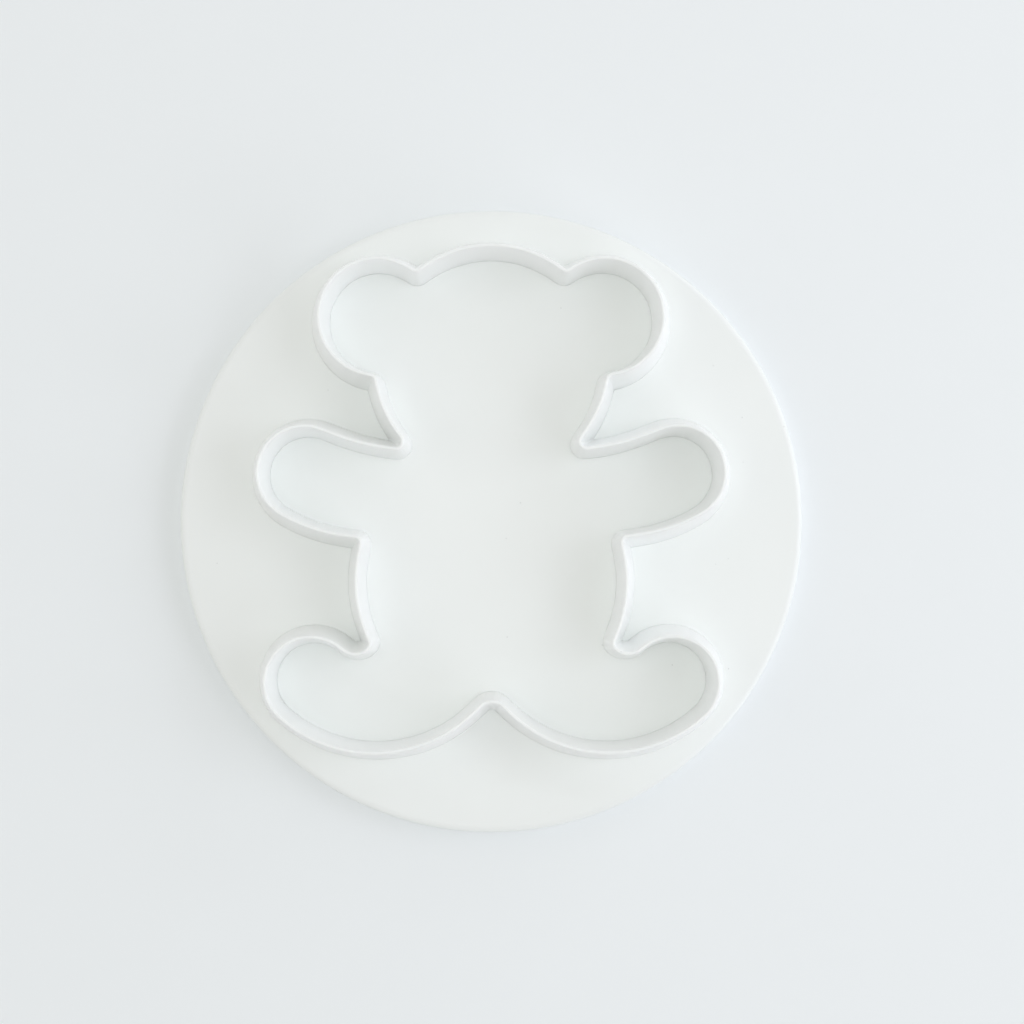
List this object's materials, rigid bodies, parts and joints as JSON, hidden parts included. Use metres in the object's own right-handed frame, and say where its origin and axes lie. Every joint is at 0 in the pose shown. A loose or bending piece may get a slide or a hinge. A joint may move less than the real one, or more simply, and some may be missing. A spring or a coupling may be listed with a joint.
{
  "type": "cookie cutter",
  "caption": "White plastic cookie cutter: a thin tapered cutting wall in the outline of a bear stands on a round plate that is pressed by hand.",
  "frame": {"origin": "middle of the round plate's flat underside", "axes": "+Z from the plate to the cutting rim, +Y towards the bear's head, +X towards the ear on the right when the rim faces the viewer"},
  "size_m": [0.09, 0.09, 0.0115],
  "materials": {
    "plate_plastic": "fine satin, as moulded",
    "wall_plastic": "fine satin, as moulded"
  },
  "bodies": {
    "root": {"press_plate": "plate_plastic", "cutter_wall": "wall_plastic"}
  },
  "joints": []
}
